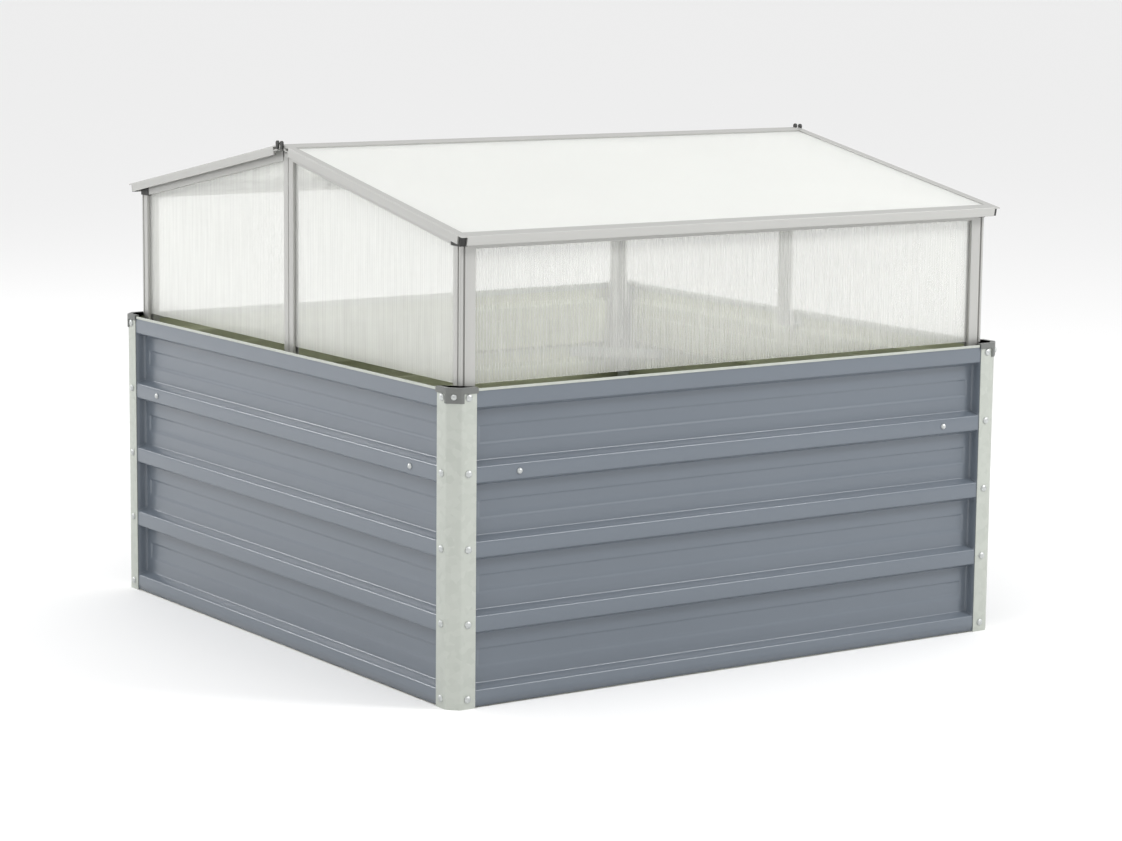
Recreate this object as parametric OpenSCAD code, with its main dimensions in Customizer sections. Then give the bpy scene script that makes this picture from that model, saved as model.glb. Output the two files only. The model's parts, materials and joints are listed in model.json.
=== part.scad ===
// Cold frame: a raised steel bed with a small greenhouse standing in it.
// Millimetres. Origin in the middle of the footprint on the ground, +Z up,
// X along the ridge, the front eave at -Y, the left gable at -X.

/* [Bed] */
// Length of the bed over its corner posts, along the ridge
bed_length = 1000; // [900:10:1200]
// Width of the bed over its corner posts, from eave to eave
bed_width = 1000; // [900:10:1200]
// Height of the wall panels' top edge
bed_height = 449; // [440:1:460]
// Number of pressed pockets in a wall panel
pockets = 4; // [3:1:5]
// Height of the flat rib between two pockets
rib_face = 23.1; // [22:0.1:26]
// Depth of a pressed pocket
pocket_depth = 16; // [8:1:16]
// Thickness of the wall sheet
sheet = 0.8; // [0.6:0.1:1]

/* [Corner posts] */
// Width of each flange from the virtual corner
post_leg = 40; // [36:1:45]
// Size of the chamfer, along each flange
post_chamfer = 15; // [10:1:16]
// Thickness of the galvanised sheet
post_sheet = 1.2; // [1:0.1:1.5]
// Number of dome-head screws on each flange
flange_screws = 5; // [4:1:6]

/* [House] */
// Inset of the house's gable faces from the bed's end faces
gable_inset = 24.5; // [22:0.5:30]
// Inset of the house's eave faces from the bed's side faces
eave_inset = 19.5; // [19.5:0.5:22]
// Thickness of the twin-wall panes
pane = 4; // [3.5:0.1:4]
// Height of the lower end of the panes
pane_bottom = 453.5; // [452:0.5:456]
// Slope of the roof, in degrees
slope = 10.76; // [10:0.01:12]
// Height of the two hinge axes
hinge_z = 751; // [748:1:754]

/* [Lids] */
// How far the lids reach past the house's gable faces
gable_overhang = 12; // [10:0.5:13]
// How far the lids' eave faces stand out from the bed's sides
eave_overhang = 2; // [0:0.5:2.5]
// Height of the lid rails' outer walls
rail_height = 13.5; // [12:0.5:14]

/* [Hinge and prop] */
// Distance of each hinge axis from the middle of the ridge
hinge_y = 7; // [7:0.1:8]
// Radius of the round beads that the lids turn on
bead_r = 2.8; // [2.6:0.1:2.9]
// Radial clearance of the lids' clips on the beads
clip_gap = 0.08; // [0.05:0.01:0.1]
// Length of a prop bar between its pivot and its far end
prop_length = 300; // [200:10:300]

/* [Hidden] */
$fn = 48;
CORNERS = ["front_left", "front_right", "back_right", "back_left"];
WALLS = ["front", "right", "back", "left"];
GABLES = ["left", "right"];
SIDES = ["front", "back"];

// wall panel
panel_inset = post_sheet;
panel_inner = panel_inset + sheet;
panel_bottom = 2;
panel_end = 17;
top_band = 25.6;
bottom_band = 23.3;
pocket_height = (bed_height - panel_bottom - top_band - bottom_band - (pockets - 1) * rib_face) / pockets;
pocket_rise = 5.3;
pocket_fall = 5;
pocket_back = panel_inset + pocket_depth;

// fasteners
screw_in = 27;
screw_first = 14;
screw_last = bed_height - 10.5;
screw_pitch = (screw_last - screw_first) / (flange_screws - 1);
screw_r = 3;
head_r = 5.3;
head_h = 3;
bolt_in = 112;
bolt_r = 2.5;
hole_gap = 0.2;
nut_h = 4;
cap_screw_r = 2;

// caps and trims
cap_leg = 42;
cap_wall = 1.5;
cap_top = bed_height + 3.5;
cap_low = bed_height - 5;
cap_tab_low = bed_height - 18;
cap_tab_leg = 19;
cap_screw_z = bed_height - 9;
cap_depth = 6;
trim_top = bed_height + 1.5;
trim_gap = 0.05;
trim_wall = 0.95;

// diagonal braces
rib_z = bed_height - top_band - pocket_height - rib_face / 2;
brace_low = rib_z - 8.5;
brace_high = rib_z + 8.5;
brace_start = 103;
brace_tab_end = 122;
brace_sheet = 2;
shelf_corner = 21;

// house posts: u runs along the eave wall, v along the gable wall
post_u = 25;
post_v = 19;
post_core = 10.6;
pane_in = 5;
lip = 1.5;
groove_at = 4.5;
groove_w = 3;
groove_d = 3;
bead_corner = 2.25;
pane_gap = 0.1;
post_foot = brace_low + brace_sheet;
foot_screw_r = 2;
pane_start = 11;
eave_face = bed_width / 2 - eave_inset;
gable_face = bed_length / 2 - gable_inset;

// gable centre posts
centre_half = 14;
centre_front = gable_face - 1;
centre_core = 6;
centre_foot = 428;
centre_top = hinge_z - 15.2;
centre_back = gable_face - pane_in - pane - pane_gap - lip;

// lids
lid_half = gable_face + gable_overhang;

// frame members, in the lids' own tilted coordinates
roof_top = 4.1;
lid_run = (bed_width / 2 + eave_overhang - hinge_y - roof_top * sin(slope)) / cos(slope);
post_top = roof_z(eave_face, -15.7);
rafter_top = -4.4;
rafter_low = -19;
rafter_deep = 20;
joint_y = eave_face - 24;
connector_in = 13;
eave_low = post_top - 4;
eave_rail_w = 18.5;
beam_half = gable_face + 0.5;
beam_base = 9;
beam_low = hinge_z - 15;
beam_high = hinge_z - 9;
clip_end = lid_half - 0.2;
bead_half = lid_half + 0.1;
stud_r = 1.25;

// lid rails
side_w = 13;
eave_w = 20;
ridge_w = 16;
slot_low = -1.95;
slot_high = 2.15;
lip_low = -3.6;
ridge_low = -3.8;
wall_low = roof_top - rail_height;
clip_r = roof_top;
corner_size = 10;

// prop bars
prop_w = 14;
prop_t = 2.2;
prop_s = lid_run - 63;
prop_n = -13;
tab_t = 2;
tab_x = gable_face - rafter_deep - 4.5;
prop_x = tab_x - tab_t / 2 - 0.3 - prop_t / 2;
rivet_r = 3;

// Width of a wall: walls 0 and 2 run along X, 1 and 3 along Y
function wall_span(i) = i % 2 == 0 ? bed_length : bed_width;
// Height of a plane that runs parallel to a lid, n above its hinge axis
function roof_z(y, n) = hinge_z - (y - hinge_y) * tan(slope) + n / cos(slope);
// Bottom of pocket k, counted down from the top
function pocket_low(k) = bed_height - top_band - (k + 1) * pocket_height - k * rib_face;

// Extrudes a section drawn in (Y, Z) along X, centred on the middle plane
module along_x(length) {
    rotate([90, 0, 90]) linear_extrude(length, center = true) children();
}

// Puts a piece drawn for the front wall on wall i
module on_wall(i) {
    rotate([0, 0, 90 * i]) translate([0, -wall_span(i + 1) / 2, 0]) children();
}

// Puts a piece drawn for the front left corner of the object at corner i
module mirrored(i) {
    right = i == 1 || i == 2;
    back = i >= 2;
    mirror([right ? 1 : 0, 0, 0]) mirror([0, back ? 1 : 0, 0]) children();
}

// The same, for a piece drawn from the bed's virtual corner
module at_corner(i) {
    mirrored(i) translate([-bed_length / 2, -bed_width / 2, 0]) children();
}

// Mirrors a piece drawn for the left gable to the right one
module at_gable(i) {
    mirror([i, 0, 0]) children();
}

// Puts a piece drawn in lid coordinates (X, down the slope, normal) on lid i
module on_lid(i) {
    mirror([0, 1 - i, 0]) translate([0, hinge_y, hinge_z]) rotate([-slope, 0, 0]) children();
}

// Puts a piece at both ends of every flange of the bed's walls
module at_flange_rows() {
    for (i = [0:3], end = [-1, 1], k = [0:flange_screws - 1])
        on_wall(i) translate([end * (wall_span(i) / 2 - screw_in), 0, screw_first + k * screw_pitch])
            rotate([90, 0, 0]) children();
}

// Puts a piece at the brace bolts of every wall
module at_brace_bolts() {
    for (i = [0:3], end = [-1, 1])
        on_wall(i) translate([end * (wall_span(i) / 2 - bolt_in), panel_inset, rib_z])
            rotate([90, 0, 0]) children();
}

// Dome-head screw with its head above z = 0 and its shank below
module dome_screw(shank_r, dome_r, dome_h, length) {
    rotate_extrude() polygon([
        [0, -length], [shank_r, -length], [shank_r, 0], [dome_r, 0],
        [dome_r, dome_h * 0.25], [dome_r * 0.8, dome_h * 0.7], [dome_r * 0.4, dome_h], [0, dome_h]
    ]);
}

// Hexagon nut below z = 0
module nut(shank_r) {
    translate([0, 0, -nut_h]) linear_extrude(nut_h) difference() {
        circle(shank_r * 1.9, $fn = 6);
        circle(shank_r + hole_gap / 2);
    }
}

// Section of pocket k; grow makes it the outside of the pressed sheet, and front
// carries it past the face of the wall
module pocket_section(k, grow, front) {
    low = pocket_low(k) - grow;
    high = pocket_low(k) + pocket_height + grow;
    mouth = [[panel_inset - front, high], [panel_inset - front, low]];
    polygon(concat(front > 0 ? mouth : [], [
        [panel_inset, low], [pocket_back + grow, low + pocket_rise],
        [pocket_back + grow, high - pocket_fall], [panel_inset, high]
    ]));
}

module wall_panel(i) {
    span = wall_span(i);
    window = span - 2 * post_leg;
    color("slategray") difference() {
        on_wall(i) difference() {
            union() {
                along_x(span - 2 * panel_end) translate([panel_inset, panel_bottom])
                    square([sheet, bed_height - panel_bottom]);
                for (k = [0:pockets - 1])
                    along_x(window + 2 * sheet) pocket_section(k, sheet, 0);
            }
            for (k = [0:pockets - 1])
                along_x(window) pocket_section(k, 0, panel_inset);
        }
        at_flange_rows() cylinder(r = screw_r + hole_gap, h = 20, center = true);
        at_brace_bolts() cylinder(r = bolt_r + hole_gap, h = 20, center = true);
    }
}

module edge_trim(i) {
    inner = panel_inner + trim_gap;
    color("gainsboro") on_wall(i) along_x(wall_span(i) - 2 * (cap_leg + 1)) union() {
        translate([panel_inset - trim_gap - trim_wall, trim_top - 3.7]) square([trim_wall, 3.7]);
        translate([inner, trim_top - 10.5]) square([trim_wall, 10.5]);
        translate([panel_inset - trim_gap - trim_wall, bed_height])
            square([inner + 2 * trim_wall + trim_gap - panel_inset, trim_top - bed_height]);
    }
}

// Plan of a chamfered angle whose outer face is moved out by "out"
module angle_plan(leg, out, thick) {
    inner = thick - out;
    cut = post_chamfer - out * (sqrt(2) - 1);
    inner_cut = post_chamfer + inner * (sqrt(2) - 1);
    polygon([
        [cut, -out], [leg, -out], [leg, inner], [inner_cut, inner],
        [inner, inner_cut], [inner, leg], [-out, leg], [-out, cut]
    ]);
}

module bed_post(i) {
    color("lightgray") difference() {
        at_corner(i) linear_extrude(bed_height) angle_plan(post_leg, 0, post_sheet);
        at_flange_rows() cylinder(r = screw_r + hole_gap, h = 6, center = true);
        at_corner(i) translate([post_chamfer / 2, post_chamfer / 2, cap_screw_z])
            rotate([90, 0, -45]) cylinder(r = cap_screw_r + hole_gap, h = 8, center = true);
    }
}

module post_cap(i) {
    band = cap_wall - trim_gap;
    color("dimgray") at_corner(i) difference() {
        union() {
            translate([0, 0, cap_low]) linear_extrude(cap_top - cap_low) angle_plan(cap_leg, cap_wall, band);
            translate([0, 0, bed_height]) linear_extrude(cap_top - bed_height)
                angle_plan(cap_leg, cap_wall, cap_wall + cap_depth);
            translate([0, 0, cap_tab_low]) linear_extrude(cap_low - cap_tab_low + 1)
                angle_plan(cap_tab_leg, cap_wall, band);
        }
        translate([post_chamfer / 2, post_chamfer / 2, cap_screw_z])
            rotate([90, 0, -45]) cylinder(r = cap_screw_r + hole_gap, h = 16, center = true);
    }
}

module panel_screws() {
    color("silver") at_flange_rows() dome_screw(screw_r, head_r, head_h, 8);
}

module panel_nuts() {
    color("silver") at_flange_rows() translate([0, 0, -panel_inner]) nut(screw_r);
}

module cap_screws() {
    color("silver") for (i = [0:3])
        at_corner(i) translate([post_chamfer / 2, post_chamfer / 2, cap_screw_z])
            rotate([90, 0, -45]) translate([0, 0, cap_wall]) dome_screw(cap_screw_r, 4.2, 2.4, 8);
}

// Bolts of the braces with their nuts, and the screws that hold the house posts' feet
module brace_fasteners() {
    color("silver") union() {
        at_brace_bolts() dome_screw(bolt_r, 4.3, 3, 9);
        at_brace_bolts() translate([0, 0, -sheet - brace_sheet]) nut(bolt_r);
        for (i = [0:3])
            at_foot_screw(i) translate([0, 0, -brace_sheet]) mirror([0, 0, 1])
                dome_screw(foot_screw_r, 4, 2.4, 18);
    }
}

module corner_brace(i) {
    near = panel_inner;
    far = near + brace_sheet;
    turn = brace_start + brace_sheet * (sqrt(2) - 1);
    reach = brace_start + near;
    color("lightgray") difference() {
        at_corner(i) union() {
            translate([0, 0, brace_low]) linear_extrude(brace_high - brace_low) polygon([
                [brace_tab_end, near], [brace_tab_end, far], [turn, far], [far, turn],
                [far, brace_tab_end], [near, brace_tab_end], [near, brace_start], [brace_start, near]
            ]);
            translate([0, 0, brace_low]) linear_extrude(brace_sheet) polygon([
                [shelf_corner, shelf_corner], [reach + 1 - shelf_corner, shelf_corner],
                [shelf_corner, reach + 1 - shelf_corner]
            ]);
        }
        at_brace_bolts() cylinder(r = bolt_r + hole_gap, h = 20, center = true);
        at_foot_screw(i) cylinder(r = foot_screw_r + hole_gap, h = 20, center = true);
    }
}

// Puts a piece at the foot of house post i, on the axis of its screw
module at_foot_screw(i) {
    centre = (groove_d + post_core) / 2;
    at_corner(i) translate([gable_inset + centre, eave_inset + centre, post_foot]) children();
}

module house_post(i) {
    slot_end = pane_in + pane + pane_gap;
    color("silver") difference() {
        at_corner(i) translate([gable_inset, eave_inset, post_foot]) linear_extrude(post_top - post_foot)
            difference() {
                union() {
                    square([post_u, pane_in - pane_gap]);
                    square([pane_in - pane_gap, post_v]);
                    square(post_core);
                    translate([post_core - 1, slot_end]) square([post_u - post_core + 1, lip]);
                    translate([slot_end, post_core - 1]) square([lip, post_v - post_core + 1]);
                }
                translate([groove_at, -1]) square([groove_w, groove_d + 1]);
                translate([-1, groove_at]) square([groove_d + 1, groove_w]);
                difference() {
                    translate([-1, -1]) square(bead_corner + 1);
                    translate([bead_corner, bead_corner]) circle(bead_corner);
                }
            }
        at_foot_screw(i) cylinder(r = foot_screw_r + hole_gap / 4, h = 40, center = true);
    }
}

// Clips inside the top of the left and right walls that carry the centre posts
module gable_foot_brackets() {
    color("lightgray") for (g = [0:1])
        at_gable(g) translate([-bed_length / 2, 0, 0]) union() {
            translate([panel_inner, -12, centre_foot - brace_sheet])
                cube([bed_length / 2 - centre_back - panel_inner, 24, brace_sheet]);
            translate([panel_inner, -12, centre_foot - brace_sheet]) cube([brace_sheet, 24, 13]);
        }
}

module gable_centre_post(g) {
    front = -centre_front;
    slot_front = -gable_face + pane_in - pane_gap;
    slot_back = slot_front + pane + 2 * pane_gap;
    color("silver") at_gable(g) translate([0, 0, centre_foot]) linear_extrude(centre_top - centre_foot)
        difference() {
            union() {
                translate([front, -centre_half]) square([slot_front - front, 2 * centre_half]);
                translate([front, -centre_core]) square([slot_back + lip - front, 2 * centre_core]);
                translate([slot_back, -centre_half]) square([lip, 2 * centre_half]);
            }
            translate([front - 1, -1.8]) square([3.5, 3.6]);
        }
}

// Plan area of a gable rafter, drawn as a sloping bar between two distances
module roof_bar(y0, y1, low, high) {
    polygon([
        [-y0, roof_z(y0, low)], [-y1, roof_z(y1, low)],
        [-y1, roof_z(y1, high)], [-y0, roof_z(y0, high)]
    ]);
}

module gable_rafter(i) {
    past_post = centre_back - 0.3;
    slot_x = gable_face - pane_in - pane / 2;
    color("silver") mirrored(i) difference() {
        translate([-gable_face + rafter_deep / 2, 0, 0]) along_x(rafter_deep)
            roof_bar(beam_base, joint_y - 0.1, rafter_low, rafter_top);
        translate([-past_post - rafter_deep, -centre_half - 0.2, beam_low - 20])
            cube([rafter_deep, centre_half, 40]);
        translate([-slot_x, 0, 0]) along_x(pane + 2 * pane_gap)
            roof_bar(0, joint_y + 10, rafter_low - 5, rafter_low + 4);
    }
}

module gable_pane(i) {
    post_side = eave_face - pane_start;
    top_n = rafter_low + 3;
    notch = joint_y - 0.5;
    color("whitesmoke", 0.5) mirrored(i) translate([-gable_face + pane_in + pane / 2, 0, 0])
        along_x(pane) polygon([
            [-post_side, pane_bottom], [-post_side, post_top - 0.6], [-notch, post_top - 0.6],
            [-notch, roof_z(notch, top_n)], [-centre_core - 0.5, roof_z(centre_core + 0.5, top_n)],
            [-centre_core - 0.5, pane_bottom]
        ]);
}

module side_pane(s) {
    half = gable_face - pane_start;
    color("whitesmoke", 0.5) mirror([0, s, 0])
        translate([-half, -eave_face + pane_in, pane_bottom]) cube([2 * half, pane, post_top - 0.2 - pane_bottom]);
}

module eave_rail(s) {
    outer = eave_face;
    inner = eave_face - eave_rail_w;
    top_n = -3;
    clear_post = gable_face - post_u - 0.1;
    slot_mid = eave_face - pane_in - pane / 2;
    color("silver") mirror([0, s, 0]) difference() {
        along_x(2 * (gable_face - connector_in + 0.9)) difference() {
            polygon([
                [-outer, eave_low], [-outer, roof_z(outer, top_n)], [-inner, roof_z(inner, top_n)],
                [-inner, roof_z(inner, top_n) - 2], [-outer + 2, roof_z(outer, top_n) - 2],
                [-outer + 2, eave_low + 5.5], [-inner, eave_low + 5.5], [-inner, eave_low]
            ]);
            translate([-slot_mid - pane / 2 - pane_gap, eave_low - 1])
                square([pane + 2 * pane_gap, post_top + 0.3 - eave_low + 1]);
        }
        for (end = [-1, 1])
            translate([end * (clear_post + 20) - 20, -outer - 1, eave_low - 1])
                cube([40, eave_rail_w + 2, post_top + 0.1 - eave_low + 1]);
    }
}

// Beam under the ridge with the two beads that the lids turn on
module ridge_beam() {
    color("silver") difference() {
        union() {
            along_x(2 * beam_half) union() {
                translate([-beam_base, beam_low]) square([2 * beam_base, beam_high - beam_low]);
                for (side = [-1, 1])
                    translate([side * hinge_y - 1, beam_high - 1]) square([2, hinge_z - beam_high]);
            }
            for (side = [-1, 1])
                translate([0, side * hinge_y, hinge_z]) rotate([0, 90, 0])
                    cylinder(r = bead_r, h = 2 * bead_half, center = true);
        }
        for (side = [-1, 1], end = [-1, 1])
            translate([end * bead_half, side * hinge_y, hinge_z]) rotate([0, 90, 0])
                cylinder(r = stud_r + hole_gap / 4, h = 25, center = true);
    }
}

// Drop-shaped plugs in the ends of the beads that keep the lids from sliding
module ridge_plugs() {
    thick = 2.6;
    color("#262624") for (end = [0, 1], side = [0, 1])
        mirror([end, 0, 0]) mirror([0, side, 0]) union() {
            translate([-bead_half - thick / 2, 0, 0]) along_x(thick) union() {
                translate([-hinge_y + 0.7, hinge_z + 6]) circle(4);
                translate([-hinge_y, hinge_z]) circle(3);
                translate([-hinge_y - 2.8, hinge_z]) square([6, 6]);
            }
            translate([-bead_half - 1, -hinge_y, hinge_z]) rotate([0, 90, 0]) cylinder(r = stud_r, h = 12);
        }
}

// Black corner joints between house post, rafter and eave rail
module eave_connectors() {
    top_n = rafter_top - 0.2;
    mid_x = gable_face + 1 - connector_in / 2;
    color("#262624") for (i = [0:3])
        mirrored(i) translate([-mid_x, 0, 0]) along_x(connector_in) polygon([
            [-eave_face, post_top], [-eave_face, roof_z(eave_face, top_n)],
            [-joint_y, roof_z(joint_y, top_n)], [-joint_y, post_top]
        ]);
}

module lid_pane(s) {
    half = lid_half - side_w / 2 + 1;
    start = ridge_w / 2 + 0.5;
    color("white") on_lid(s)
        translate([-half, start, slot_low + 0.05]) cube([2 * half, lid_run - eave_w + 7.5 - start, pane]);
}

// Ridge rail with the open clip that turns on the bead
module lid_ridge_rail(s) {
    color("gainsboro") on_lid(s) along_x(2 * clip_end) union() {
        difference() {
            circle(clip_r);
            circle(bead_r + clip_gap);
            polygon([
                [0, 0], [12 * cos(161), 12 * sin(161)], [-12, -2], [-12, -12], [0, -12],
                [12 * cos(-47), 12 * sin(-47)]
            ]);
        }
        difference() {
            translate([3.2, ridge_low]) square([ridge_w - 3.2, clip_r - ridge_low]);
            translate([ridge_w / 2, slot_low]) square([ridge_w, slot_high - slot_low]);
        }
    }
}

module lid_eave_rail(s) {
    start = lid_run - eave_w;
    color("gainsboro") on_lid(s) along_x(2 * (lid_half - corner_size)) union() {
        translate([start, slot_high]) square([eave_w, roof_top - slot_high]);
        translate([start + 8, lip_low]) square([2, roof_top - lip_low]);
        translate([start, lip_low]) square([eave_w, slot_low - lip_low]);
        translate([lid_run - 2.5, wall_low]) square([2.5, rail_height]);
    }
}

module lid_side_rails(s) {
    inner = lid_half - side_w;
    start = ridge_w + 0.1;
    eave = lid_run - eave_w;
    color("gainsboro") on_lid(s) for (end = [0, 1])
        mirror([end, 0, 0]) difference() {
            union() {
                translate([inner, start, lip_low]) cube([side_w, eave - 0.1 - start, roof_top - lip_low]);
                translate([lid_half - corner_size + 0.1, start, lip_low])
                    cube([corner_size - 0.1, lid_run - corner_size - start, roof_top - lip_low]);
                translate([lid_half - 2.5, start, wall_low])
                    cube([2.5, lid_run - corner_size - start, rail_height]);
                translate([lid_half - corner_size + 0.1, start, slot_high])
                    cube([corner_size - 0.1, lid_run - start, roof_top - slot_high]);
            }
            translate([inner - 1, start - 1, slot_low])
                cube([side_w - 4, eave + 5, slot_high - slot_low]);
            translate([lid_half - 5.3, lid_run - corner_size - 12, -1.8]) cube([2.3, 13, slot_high + 1.8]);
        }
}

module lid_corner_pieces(s) {
    round_r = 3;
    color("#262624") on_lid(s) for (end = [0, 1])
        mirror([end, 0, 0]) union() {
            translate([lid_half - corner_size + 0.1, lid_run - corner_size + 0.1, wall_low])
                linear_extrude(slot_high - 0.1 - wall_low) union() {
                    square([corner_size - 0.1, corner_size - 0.1 - round_r]);
                    square([corner_size - 0.1 - round_r, corner_size - 0.1]);
                    translate([corner_size - 0.1 - round_r, corner_size - 0.1 - round_r]) circle(round_r);
                }
            translate([lid_half - 5.2, lid_run - corner_size - 11, -1.7]) cube([2.1, 12, 3.7]);
        }
}

// Bracket on the right side rail, over the rafter, with the rivet of the prop bar
module prop_bracket(s) {
    tab_low = prop_n - 8;
    tongue_t = 1.4;
    color("silver") on_lid(s) union() {
        translate([tab_x - tab_t / 2, prop_s - 9, slot_low - tongue_t])
            cube([lid_half - side_w - tab_x + tab_t / 2, 18, tongue_t]);
        translate([tab_x - tab_t / 2, prop_s - 9, tab_low]) cube([tab_t, 18, slot_low - tab_low]);
        translate([tab_x, prop_s, prop_n]) rotate([0, -90, 0]) cylinder(r = rivet_r, h = 4.6);
        translate([tab_x - 3.8, prop_s, prop_n]) rotate([0, -90, 0]) cylinder(r = 5.5, h = 1.6);
    }
}

module prop_bar(s) {
    color("silver") on_lid(s) translate([prop_x, prop_s, prop_n]) along_x(prop_t) difference() {
        union() {
            circle(prop_w / 2);
            translate([-prop_length, 0]) circle(prop_w / 2);
            translate([-prop_length, -prop_w / 2]) square([prop_length, prop_w]);
        }
        circle(rivet_r + 0.05);
        for (k = [0:4])
            translate([-prop_length + 10 + 30 * k, 0]) circle(3.2);
    }
}

for (i = [0:3]) {
    w = WALLS[i];
    c = CORNERS[i];
    wall_panel(i);
    edge_trim(i);
    bed_post(i);
    post_cap(i);
    corner_brace(i);
    house_post(i);
    gable_rafter(i);
    gable_pane(i);
}
for (i = [0:1]) {
    g = GABLES[i];
    s = SIDES[i];
    gable_centre_post(i);
    side_pane(i);
    eave_rail(i);
    lid_pane(i);
    lid_ridge_rail(i);
    lid_eave_rail(i);
    lid_side_rails(i);
    lid_corner_pieces(i);
    prop_bracket(i);
    prop_bar(i);
}
panel_screws();
panel_nuts();
cap_screws();
brace_fasteners();
gable_foot_brackets();
ridge_beam();
ridge_plugs();
eave_connectors();
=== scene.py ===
# %% [markdown]
# # A cold frame on a raised steel bed
#
# The object is a square garden bed of ribbed steel walls with a small greenhouse
# standing in it. This lesson dresses its CAD frame piece by piece. Nearly everything
# on it is sheet metal bent along lines or an extrusion cut to length, so two shapes
# do most of the work: an outline carried along a straight path, and a grid whose
# depth is a formula.

# %% Load the fixed frame
import json
import math

import bpy
import numpy as np
from mathutils import Matrix, Vector


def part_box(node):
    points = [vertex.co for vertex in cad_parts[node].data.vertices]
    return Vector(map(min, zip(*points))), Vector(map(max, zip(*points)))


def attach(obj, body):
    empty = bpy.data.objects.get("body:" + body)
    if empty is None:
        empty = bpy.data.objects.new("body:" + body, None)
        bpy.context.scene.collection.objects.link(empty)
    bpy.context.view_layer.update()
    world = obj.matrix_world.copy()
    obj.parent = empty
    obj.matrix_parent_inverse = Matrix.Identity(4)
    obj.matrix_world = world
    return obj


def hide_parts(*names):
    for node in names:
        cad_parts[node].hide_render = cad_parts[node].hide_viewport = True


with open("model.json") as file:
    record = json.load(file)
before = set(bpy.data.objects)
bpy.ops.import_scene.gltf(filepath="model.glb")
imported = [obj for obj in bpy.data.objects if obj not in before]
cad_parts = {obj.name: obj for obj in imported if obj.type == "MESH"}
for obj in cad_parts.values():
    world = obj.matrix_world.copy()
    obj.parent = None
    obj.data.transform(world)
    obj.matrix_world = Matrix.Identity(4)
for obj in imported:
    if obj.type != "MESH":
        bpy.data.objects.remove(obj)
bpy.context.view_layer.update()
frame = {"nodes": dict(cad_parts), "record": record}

# %% [markdown]
# ## The driving sizes
# The pieces are placed from the CAD nodes' boxes, and the sizes of their details are
# written where they are first used. A wall is described in its own directions: along
# it, into the bed, and up. A corner is described from the point where the outer faces
# of its two walls would meet.

# %% Sizes read from the frame
MM = 0.001
post_low, post_high = (np.array(p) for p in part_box("bed_post_front_left"))
BED_X, BED_Y = -post_low[0], -post_low[1]
FLANGE = post_high[0] - post_low[0]
BED_TOP = post_high[2]


def wall_axes(middle, along, inward, half):
    """A wall's middle at the ground, its two directions and half its length."""
    return np.array(middle, float), np.array(along, float), np.array(inward, float), half


WALLS = {
    "front": wall_axes((0, -BED_Y, 0), (1, 0, 0), (0, 1, 0), BED_X),
    "right": wall_axes((BED_X, 0, 0), (0, 1, 0), (-1, 0, 0), BED_Y),
    "back": wall_axes((0, BED_Y, 0), (-1, 0, 0), (0, -1, 0), BED_X),
    "left": wall_axes((-BED_X, 0, 0), (0, -1, 0), (1, 0, 0), BED_Y),
}
CORNERS = {
    "front_left": (-1, -1),
    "front_right": (1, -1),
    "back_right": (1, 1),
    "back_left": (-1, 1),
}
UP = np.array((0.0, 0.0, 1.0))
print(f"bed {2000 * BED_X:.0f} x {2000 * BED_Y:.0f} x {1000 * BED_TOP:.0f} mm")

# %% [markdown]
# ## Camera
# The view looks across the near corner from a little above the roof, with a long
# lens, so the walls' upright edges stay nearly parallel. Yaw turns from +Y towards
# +X, pitch looks down, and roll is the small tilt of the horizon.

# %% Camera
CAMERA_AT = Vector((-2.76774, -4.08954, 1.07255))
YAW, PITCH, ROLL = (math.radians(a) for a in (34.289, 8.862, 0.576))
FOCAL_MM, SENSOR_MM = 100.78, 36
flat = math.cos(PITCH)
ahead = Vector((math.sin(YAW) * flat, math.cos(YAW) * flat, -math.sin(PITCH)))
level = Vector((math.cos(YAW), -math.sin(YAW), 0))
above = level.cross(ahead)
right = level * math.cos(ROLL) + above * math.sin(ROLL)
top = above * math.cos(ROLL) - level * math.sin(ROLL)
lens = bpy.data.cameras.new("camera")
lens.lens, lens.sensor_width = FOCAL_MM, SENSOR_MM
camera = bpy.data.objects.new("camera", lens)
turn = Matrix((right, top, -ahead)).transposed().to_4x4()
camera.matrix_world = Matrix.Translation(CAMERA_AT) @ turn
bpy.context.collection.objects.link(camera)
bpy.context.scene.camera = camera
print("camera", round((CAMERA_AT - Vector((0, 0, 0.4))).length, 2), "m from the middle")

# %% [markdown]
# ## Shapes from formulas
# A shape here is three arrays: points, faces and the surface coordinates (UV) of the
# faces' corners. `carried` is the extrusion: a closed outline repeated at each station
# of a path. `turned` is the lathe. `patch` is a sheet given by a grid of points.

# %% Rounded outlines
def rounded(points, radius, steps=4):
    """A closed outline whose corners are eased: each corner P becomes the curve
    (1-t)^2 A + 2t(1-t) P + t^2 B, where A and B lie at a distance of the radius
    from P towards its two neighbours (less where the sides are short)."""
    p = np.array(points, float)
    before, after = np.roll(p, 1, 0) - p, np.roll(p, -1, 0) - p
    long_a, long_b = np.linalg.norm(before, axis=1), np.linalg.norm(after, axis=1)
    reach = np.minimum(long_a, long_b) * 0.48
    reach = np.minimum(np.broadcast_to(radius, len(p)), reach)[:, None]
    a = p + before / long_a[:, None] * reach
    b = p + after / long_b[:, None] * reach
    t = np.linspace(0, 1, steps)[:, None, None]
    curve = (1 - t) ** 2 * a + 2 * t * (1 - t) * p + t**2 * b
    return curve.transpose(1, 0, 2).reshape(-1, 2)


# %% Numbering and lengths that the shapes share
def quad_ids(i, j, k, n):
    """Corner numbers of quads between rows i and i+1, columns j and k, n to a row."""
    return np.stack([i * n + j, i * n + k, (i + 1) * n + k, (i + 1) * n + j], -1).reshape(-1, 4)


def travelled(path):
    """Distance from a path's first point to each of its points, along the path."""
    return np.concatenate([[0], np.cumsum(np.linalg.norm(np.diff(path, axis=0), axis=1))])


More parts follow.
